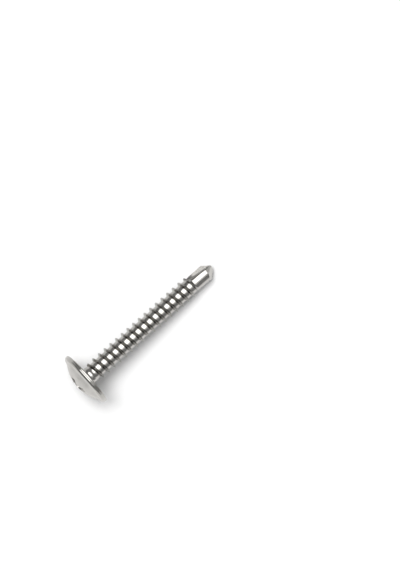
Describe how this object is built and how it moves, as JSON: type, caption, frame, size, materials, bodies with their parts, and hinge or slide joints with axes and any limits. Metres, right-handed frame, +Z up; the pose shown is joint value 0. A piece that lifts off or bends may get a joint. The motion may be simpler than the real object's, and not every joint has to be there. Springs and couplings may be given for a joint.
{
  "type": "self drilling screw",
  "caption": "Self drilling screw with a wide low truss head, cross recess, coarse spaced thread and a fluted drill point, lying on its side.",
  "frame": {"origin": "centre of the lying screw's box, on the floor it rests on", "axes": "+Z up, +X along the screw towards the drill point (the screw dips 7.5 degrees towards the point), +Y to the left of that direction"},
  "size_m": [0.0334, 0.011, 0.0109],
  "materials": {
    "steel": "bright, as rolled and tumbled"
  },
  "bodies": {
    "root": {"screw": "steel"}
  },
  "joints": []
}
